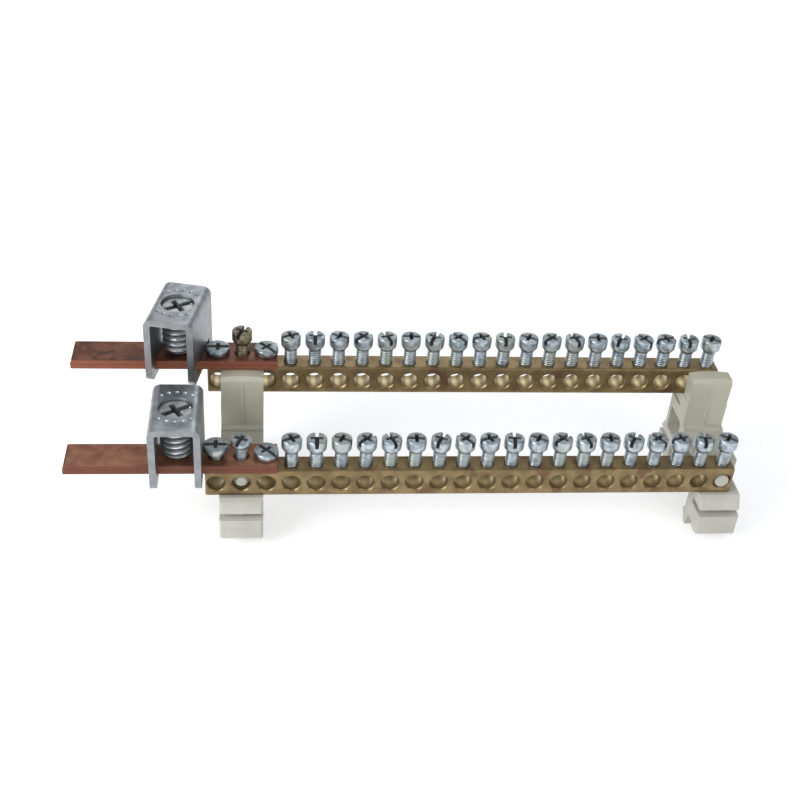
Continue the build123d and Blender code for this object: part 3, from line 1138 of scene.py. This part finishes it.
@dataclass
class BoxLug:
    """A bent strap with its pressure screw."""

    row: Row
    turn: float = 30.0
    # The thread's grooves take strong painted shade.
    thread: ThreadForm = ThreadForm(
        radius=5.0 * MM, pitch=2.0 * MM, depth=1.0 * MM, crest_share=0.24, root_share=0.12, painted_shading=0.9
    )
    cap: HeadForm = HeadForm(
        radius=5.0 * MM,
        height=3.0 * MM,
        neck_radius=4.6 * MM,
        neck_height=0.5 * MM,
        rim_round=0.5 * MM,
        slot_width=1.8 * MM,
        cross_width=1.8 * MM,
        cross_reach=3.2 * MM,
        slot_depth=2.2 * MM,
        edge=0.15 * MM,
        steps=56,
    )
    thread_steps: int = 64
    tip_radius: float = 2.65 * MM
    tip_height: float = 2.35 * MM
    shank_in_cap: float = 0.1 * MM
    strap_edge: float = 0.25 * MM
    edge_steps: int = 3
    # Share of painted shade on the strap's upright faces.
    side_painted_shading: float = 0.6

    def build(self) -> list[bpy.types.Object]:
        """Builds the strap with soft edges and the screw with its helical thread.

        Returns:
            The strap and the screw.
        """
        frame_node, screw_node = f"{self.row.value}_lug_frame", f"{self.row.value}_lug_screw"
        strap = refine_node(
            frame_node, Slot.ZINC_STRAP, self.strap_edge, self.edge_steps, side_painted_shading=self.side_painted_shading
        )
        low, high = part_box(screw_node)
        foot_of_cap = high.z - self.cap.height
        shank = self.thread.surface(
            low.z, foot_of_cap + self.shank_in_cap, self.tip_radius, self.tip_height, self.thread_steps
        )
        cap = self.cap.surface().placed((0, 0, foot_of_cap))
        axis = ((low.x + high.x) / 2, (low.y + high.y) / 2, 0.0)
        whole = Surface.joined([shank, cap]).placed(axis, self.turn)
        name = f"{screw_node}_threaded"
        return [strap, make_piece(name, whole, Slot.ZINC_SCREW, [screw_node], LUG_SCREW_FINISH)]


@dataclass
class CopperTail:
    """The stacked copper strips of one bar."""

    row: Row
    edge: float = 0.25 * MM
    edge_steps: int = 3
    # Share of painted light or shade on the strips' upright faces: shade in front, light behind.
    side_painted_shading: float = 0.9

    def build(self) -> list[bpy.types.Object]:
        """Builds both strips with softly rounded edges. The rear ones are darker, as painted shade.

        Returns:
            The lower and the upper strip.
        """
        finish = REAR_COPPER_FINISH if self.row is Row.REAR else None
        nodes = [f"{self.row.value}_tail_{layer}_strip" for layer in ("lower", "upper")]
        return [
            refine_node(node, Slot.COPPER_TAIL, self.edge, self.edge_steps, finish, self.side_painted_shading)
            for node in nodes
        ]


@dataclass
class Supports:
    """The two moulded supports."""

    edge: float = 0.22 * MM

    def build(self) -> list[bpy.types.Object]:
        """Builds both supports with the soft edges of a moulding."""
        return [refine_node(f"{side}_support", Slot.PLASTIC, self.edge) for side in ("left", "right")]


@dataclass(frozen=True)
class Lamp:
    """A square soft lamp that looks at the object's middle, with its power in watts."""

    name: str
    place: tuple[float, float, float]
    size: float
    power: float

    def build(self) -> None:
        """Hangs the lamp in its place."""
        data = bpy.data.lights.new(self.name, "AREA")
        data.shape = "SQUARE"
        data.size = self.size
        data.energy = self.power
        lamp = bpy.data.objects.new(self.name, data)
        bpy.context.scene.collection.objects.link(lamp)
        lamp.location = self.place
        lamp.rotation_mode = "QUATERNION"
        lamp.rotation_quaternion = (-Vector(self.place)).to_track_quat("-Z", "Y")


@dataclass
class Studio:
    """Floor, lights, world and camera."""

    floor_size: float = 6.0
    floor_colour: tuple[float, float, float] = (0.86, 0.86, 0.86)
    floor_roughness: float = 0.9
    floor_glow: float = 0.42
    sky_colour: tuple[float, float, float] = (0.93, 0.96, 1.0)
    sky_levels: tuple[float, float] = (0.40, 0.62)
    sky_span: tuple[float, float] = (-0.6, 0.9)
    bright_side: tuple[float, float, float] = (-0.68, -0.42, 0.6)
    lamps: tuple[Lamp, ...] = (
        Lamp("key lamp", (-0.54, -0.28, 0.35), 0.4, 2.9),
        Lamp("fill lamp", (0.45, -0.6, 0.45), 0.5, 1.2),
        Lamp("back lamp", (0.1, 0.7, 0.5), 0.5, 0.8),
    )
    lens: float = 54.0
    sensor_width: float = 36.0
    clip_start: float = 0.01
    azimuth: float = 7.969
    elevation: float = 35.686
    roll: float = 4.833
    camera_from_first_hole: tuple[float, float, float] = (14.232 * MM, -279.594 * MM, 234.123 * MM)

    def floor_material(self) -> bpy.types.Material:
        """A pale floor that the camera and reflections see as white, with the object's shadow kept.

        Returns:
            The node material.
        """
        material = bpy.data.materials.new("pale floor")
        material.use_nodes = True
        tree = material.node_tree
        shader = tree.nodes["Principled BSDF"]
        shader.inputs["Base Color"].default_value = (*self.floor_colour, 1.0)
        shader.inputs["Roughness"].default_value = self.floor_roughness
        shader.inputs["Specular IOR Level"].default_value = 0.0
        path = tree.nodes.new("ShaderNodeLightPath")
        seen = path.outputs["Is Camera Ray"]
        for ray in ("Is Glossy Ray", "Is Transmission Ray"):
            seen = math_node(tree, "MAXIMUM", seen, path.outputs[ray])
        glow = tree.nodes.new("ShaderNodeEmission")
        tree.links.new(math_node(tree, "MULTIPLY", seen, self.floor_glow), glow.inputs["Strength"])
        both = tree.nodes.new("ShaderNodeAddShader")
        tree.links.new(shader.outputs[0], both.inputs[0])
        tree.links.new(glow.outputs[0], both.inputs[1])
        tree.links.new(both.outputs[0], tree.nodes["Material Output"].inputs["Surface"])
        return material

    def build_floor(self) -> None:
        """A square floor at Z = 0."""
        half = self.floor_size / 2
        mesh = bpy.data.meshes.new("floor")
        corners = [(-half, -half, 0), (half, -half, 0), (half, half, 0), (-half, half, 0)]
        mesh.from_pydata(corners, [], [(0, 1, 2, 3)])
        mesh.materials.append(self.floor_material())
        floor = bpy.data.objects.new("floor", mesh)
        bpy.context.scene.collection.objects.link(floor)

    def build_world(self) -> None:
        """A soft sky: bright towards the front left, dimmer behind the object.

        Its strength follows the dot product of the view direction and the bright side, eased between levels.
        """
        world = bpy.data.worlds.new("soft sky")
        bpy.context.scene.world = world
        world.use_nodes = True
        tree = world.node_tree
        sky = tree.nodes["Background"]
        sky.inputs["Color"].default_value = (*self.sky_colour, 1.0)
        side = tree.nodes.new("ShaderNodeVectorMath")
        side.operation = "DOT_PRODUCT"
        side.inputs[1].default_value = self.bright_side
        tree.links.new(tree.nodes.new("ShaderNodeTexCoord").outputs["Generated"], side.inputs[0])
        strength = ease_node(tree, side.outputs["Value"], self.sky_span, self.sky_levels)
        tree.links.new(strength, sky.inputs["Strength"])

    def build_camera(self) -> None:
        """The camera at the photograph's angle, placed from the first hole of the front bar.

        Its direction comes from azimuth and elevation. Its right and up vectors are then turned by the roll.
        """
        az, el, roll = (math.radians(v) for v in (self.azimuth, self.elevation, self.roll))
        forward = Vector((math.sin(az) * math.cos(el), math.cos(az) * math.cos(el), -math.sin(el)))
        level = Vector((math.cos(az), -math.sin(az), 0.0))
        upright = level.cross(forward)
        right = math.cos(roll) * level + math.sin(roll) * upright
        up = -math.sin(roll) * level + math.cos(roll) * upright
        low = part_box("front_bar")[0]
        first_hole = Vector((hole_x(Row.FRONT, 0), low.y, low.z + HOLE_OVER_UNDERSIDE))
        data = bpy.data.cameras.new("camera")
        data.lens = self.lens
        data.sensor_width = self.sensor_width
        data.clip_start = self.clip_start
        camera = bpy.data.objects.new("camera", data)
        bpy.context.scene.collection.objects.link(camera)
        turned = Matrix((right, up, -forward)).transposed().to_4x4()
        spot = first_hole + Vector(self.camera_from_first_hole)
        camera.matrix_world = Matrix.Translation(spot) @ turned
        bpy.context.scene.camera = camera

    def build(self) -> None:
        """Sets up the whole studio."""
        self.build_floor()
        self.build_world()
        for lamp in self.lamps:
            lamp.build()
        self.build_camera()
        bpy.context.scene.view_settings.view_transform = "Standard"


def main() -> None:
    logging.basicConfig(level=logging.INFO, format="%(name)s %(message)s")
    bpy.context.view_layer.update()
    for row in Row:
        BrassBar(row).build()
        CopperTail(row).build()
        ScrewSet(row).build()
        BoxLug(row).build()
    Supports().build()
    Studio().build()


if __name__ == "__main__":
    main()
